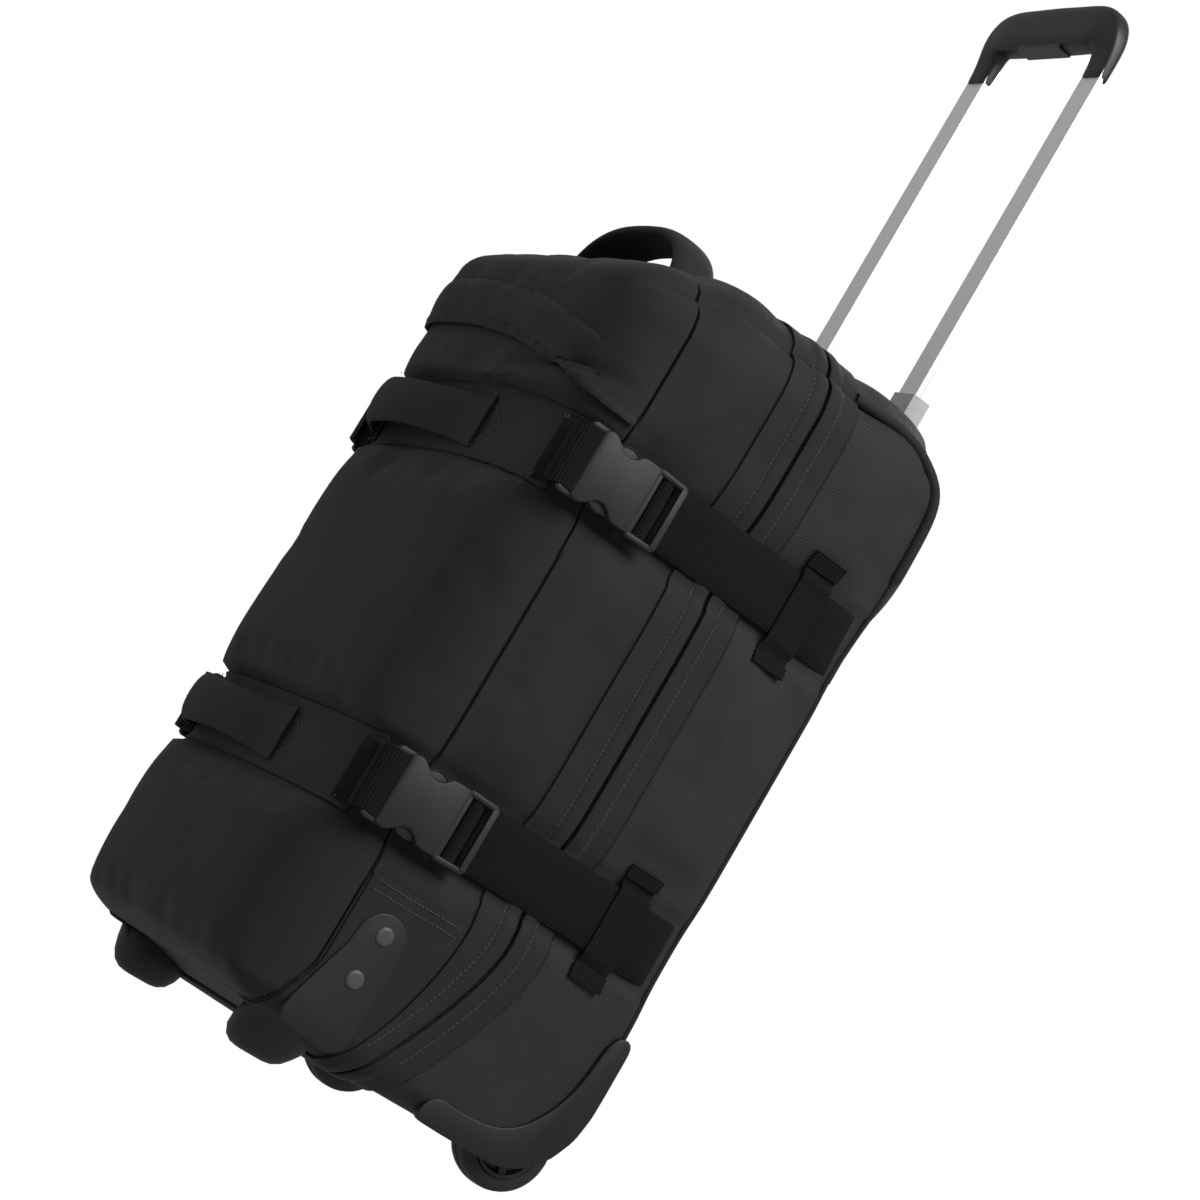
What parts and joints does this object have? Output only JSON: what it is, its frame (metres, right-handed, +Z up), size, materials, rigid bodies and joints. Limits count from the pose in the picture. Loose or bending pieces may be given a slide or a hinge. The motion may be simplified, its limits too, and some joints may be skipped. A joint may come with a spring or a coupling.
{
  "type": "rolling duffel bag",
  "caption": "Upright soft-sided duffel with a telescopic trolley, rear wheels, riveted front feet, strap buckles and a zip-open front.",
  "frame": {"origin": "on the ground under the middle of the bag's box, standing on its feet and wheels", "axes": "+Z up, -Y towards the front panel, +X towards the bag's left as it faces the viewer's right"},
  "size_m": [0.3682, 0.3, 1.026],
  "materials": {
    "fabric_smooth": "matte coated polyester, smooth",
    "fabric_twill": "matte diagonal twill nylon",
    "webbing": "ribbed polypropylene webbing",
    "moulded": "fine-textured black moulding",
    "buckle": "satin dark grey acetal",
    "grip": "smooth satin dark grey",
    "tube": "satin anodised",
    "tyre": "matte rubber",
    "steel": "plain zinc plated",
    "rivet": "satin dark grey",
    "zip": "coil zip, matt black"
  },
  "bodies": {
    "tub": {"tub_side_left": "fabric_twill", "tub_side_right": "fabric_twill", "tub_base": "moulded", "tub_back": "fabric_twill", "tub_top": "fabric_twill", "zip_chain": "zip", "outer_tube_left": "tube", "outer_tube_right": "tube", "tube_collar_left": "moulded", "tube_collar_right": "moulded", "tube_bracket": "moulded", "wheel_housing_left": "moulded", "wheel_housing_right": "moulded", "axles": "steel", "corner_guard_left": "moulded", "corner_guard_right": "moulded", "webbing_upper_left": "webbing", "webbing_upper_right": "webbing", "webbing_lower_left": "webbing", "webbing_lower_right": "webbing", "keeper_loops_left": "webbing", "keeper_loops_right": "webbing"},
    "front_shell": {"gusset_left": "fabric_smooth", "gusset_right": "fabric_smooth", "gusset_floor": "fabric_smooth", "gusset_top": "fabric_smooth", "front_panel": "fabric_smooth", "front_pocket": "fabric_smooth", "foot_left": "moulded", "foot_right": "moulded", "foot_rivets": "rivet", "front_band_upper": "fabric_smooth", "front_band_lower": "fabric_smooth", "carry_handle_upper": "fabric_smooth", "carry_handle_lower": "fabric_smooth", "top_handle": "webbing", "buckle_socket_upper_left": "buckle", "buckle_socket_upper_right": "buckle", "buckle_socket_lower_left": "buckle", "buckle_socket_lower_right": "buckle"},
    "trolley": {"inner_tube_left": "tube", "inner_tube_right": "tube", "grip": "grip"},
    "release": {"release_trigger": "grip", "pull_rods": "steel"},
    "pin_left": {"lock_pin_left": "steel"},
    "pin_right": {"lock_pin_right": "steel"},
    "wheel_left": {"tyre_left": "tyre", "hub_left": "moulded"},
    "wheel_right": {"tyre_right": "tyre", "hub_right": "moulded"},
    "slider_left": {"zip_slider_left": "zip"},
    "slider_right": {"zip_slider_right": "zip"},
    "plug_upper_left": {"buckle_plug_upper_left": "buckle"},
    "plug_upper_right": {"buckle_plug_upper_right": "buckle"},
    "plug_lower_left": {"buckle_plug_lower_left": "buckle"},
    "plug_lower_right": {"buckle_plug_lower_right": "buckle"}
  },
  "joints": [
    {"name": "front_opening", "type": "hinge", "parent": "tub", "child": "front_shell", "pos_m": [0, -0.038, 0.02], "axis": [1, 0, 0], "range_deg": [0, 100]},
    {"name": "trolley_slide", "type": "slide", "parent": "tub", "child": "trolley", "axis": [0, 0, 1], "range_m": [-0.283, 0]},
    {"name": "release_squeeze", "type": "slide", "parent": "trolley", "child": "release", "axis": [0, 0, 1], "range_m": [0, 0.004], "stiffness_N_per_m": 900, "springref_m": -0.001},
    {"name": "pin_left_draw", "type": "slide", "parent": "trolley", "child": "pin_left", "axis": [1, 0, 0], "range_m": [0, 0.003]},
    {"name": "pin_right_draw", "type": "slide", "parent": "trolley", "child": "pin_right", "axis": [-1, 0, 0], "range_m": [0, 0.003]},
    {"name": "wheel_left_spin", "type": "hinge", "parent": "tub", "child": "wheel_left", "pos_m": [-0.138, 0.113, 0.0365], "axis": [1, 0, 0], "continuous": true},
    {"name": "wheel_right_spin", "type": "hinge", "parent": "tub", "child": "wheel_right", "pos_m": [0.138, 0.113, 0.0365], "axis": [1, 0, 0], "continuous": true},
    {"name": "zip_left_run", "type": "slide", "parent": "tub", "child": "slider_left", "axis": [0, 0, 1], "range_m": [-0.36, 0]},
    {"name": "zip_right_run", "type": "slide", "parent": "tub", "child": "slider_right", "axis": [0, 0, 1], "range_m": [-0.36, 0]},
    {"name": "buckle_upper_left_draw", "type": "slide", "parent": "tub", "child": "plug_upper_left", "axis": [0, 1, 0], "range_m": [0, 0.036]},
    {"name": "buckle_upper_right_draw", "type": "slide", "parent": "tub", "child": "plug_upper_right", "axis": [0, 1, 0], "range_m": [0, 0.036]},
    {"name": "buckle_lower_left_draw", "type": "slide", "parent": "tub", "child": "plug_lower_left", "axis": [0, 1, 0], "range_m": [0, 0.036]},
    {"name": "buckle_lower_right_draw", "type": "slide", "parent": "tub", "child": "plug_lower_right", "axis": [0, 1, 0], "range_m": [0, 0.036]}
  ],
  "couplings": [
    {"joint": "pin_left_draw", "follows": "release_squeeze", "ratio": 0.75},
    {"joint": "pin_right_draw", "follows": "release_squeeze", "ratio": 0.75}
  ]
}
